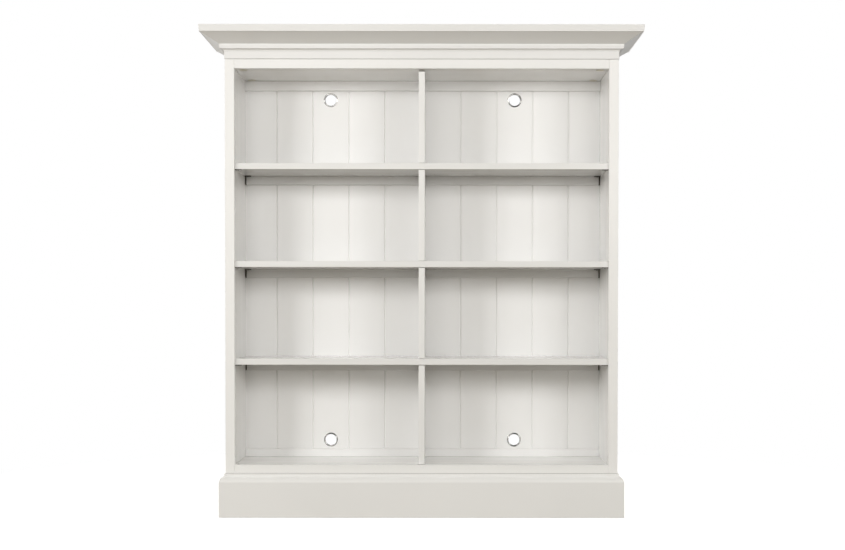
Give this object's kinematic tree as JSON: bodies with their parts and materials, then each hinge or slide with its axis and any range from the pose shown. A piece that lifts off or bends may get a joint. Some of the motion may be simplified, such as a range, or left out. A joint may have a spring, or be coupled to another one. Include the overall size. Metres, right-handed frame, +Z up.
{
  "type": "hidden door bookcase",
  "caption": "Painted open bookcase with cornice, skirting and grooved back, hung on a wall frame so that it swings out as a hidden door on side hinges and castors.",
  "frame": {"origin": "on the floor, under the middle of the whole assembly's width and depth", "axes": "+Z up, the bookcase's open front faces -Y, the wall is towards +Y, +X to the right seen from the front"},
  "size_m": [1.784, 0.514, 1.989],
  "materials": {
    "paint": "satin off-white paint over wood board",
    "panel_paint": "satin off-white paint over grooved board",
    "bare_timber": "planed softwood",
    "steel": "zinc plated",
    "castor_rubber": "grey rubber tyre",
    "moulded_plastic": "off-white moulded plastic"
  },
  "bodies": {
    "wall_frame": {"jamb_left": "bare_timber", "jamb_right": "bare_timber", "head": "bare_timber", "cornice_front_board": "paint", "cornice_side_left": "paint", "cornice_side_right": "paint", "cornice_cap": "paint", "cornice_moulding_front": "paint", "cornice_moulding_left": "paint", "cornice_moulding_right": "paint", "hinge_frame_leaf_1": "steel", "hinge_frame_leaf_2": "steel", "hinge_frame_leaf_3": "steel", "hinge_pin_1": "steel", "hinge_pin_2": "steel", "hinge_pin_3": "steel", "catch_magnet": "moulded_plastic"},
    "bookcase_door": {"side_panel_left": "paint", "side_panel_right": "paint", "top_panel": "paint", "bottom_board": "paint", "stile_left": "paint", "stile_right": "paint", "top_rail": "paint", "bottom_rail": "paint", "shelf_1": "paint", "shelf_2": "paint", "shelf_3": "paint", "divider_1": "paint", "divider_2": "paint", "divider_3": "paint", "divider_4": "paint", "back_panel_left": "panel_paint", "back_panel_right": "panel_paint", "rear_rail_bottom": "paint", "rear_rail_shelf_1": "paint", "rear_rail_shelf_2": "paint", "rear_rail_shelf_3": "paint", "rear_rail_top": "paint", "skirting_front": "paint", "skirting_left": "paint", "skirting_right": "paint", "plinth_back": "bare_timber", "castor_bearer_front": "bare_timber", "castor_bearer_rear": "bare_timber", "castor_fork_1": "steel", "castor_fork_2": "steel", "castor_fork_3": "steel", "castor_axle_1": "steel", "castor_axle_2": "steel", "castor_axle_3": "steel", "hinge_door_leaf_1": "steel", "hinge_door_leaf_2": "steel", "hinge_door_leaf_3": "steel", "catch_strike": "steel"},
    "wheel_far_front": {"castor_wheel_1": "castor_rubber"},
    "wheel_far_rear": {"castor_wheel_2": "castor_rubber"},
    "wheel_middle_front": {"castor_wheel_3": "castor_rubber"}
  },
  "joints": [
    {"name": "door_swing", "type": "hinge", "parent": "wall_frame", "child": "bookcase_door", "pos_m": [-0.83, 0.204, 0.93], "axis": [0, 0, -1], "range_deg": [0, 90]},
    {"name": "far_front_wheel_roll", "type": "hinge", "parent": "bookcase_door", "child": "wheel_far_front", "pos_m": [0.69, -0.075, 0.05], "axis": [0.9836, -0.1805, 0], "continuous": true},
    {"name": "far_rear_wheel_roll", "type": "hinge", "parent": "bookcase_door", "child": "wheel_far_rear", "pos_m": [0.69, 0.132, 0.05], "axis": [0.9989, -0.0473, 0], "continuous": true},
    {"name": "middle_front_wheel_roll", "type": "hinge", "parent": "bookcase_door", "child": "wheel_middle_front", "pos_m": [-0.06, -0.075, 0.05], "axis": [0.9402, -0.3407, 0], "continuous": true}
  ],
  "couplings": [
    {"joint": "far_front_wheel_roll", "follows": "door_swing", "ratio": 30.908},
    {"joint": "far_rear_wheel_roll", "follows": "door_swing", "ratio": 30.434},
    {"joint": "middle_front_wheel_roll", "follows": "door_swing", "ratio": 16.38}
  ]
}
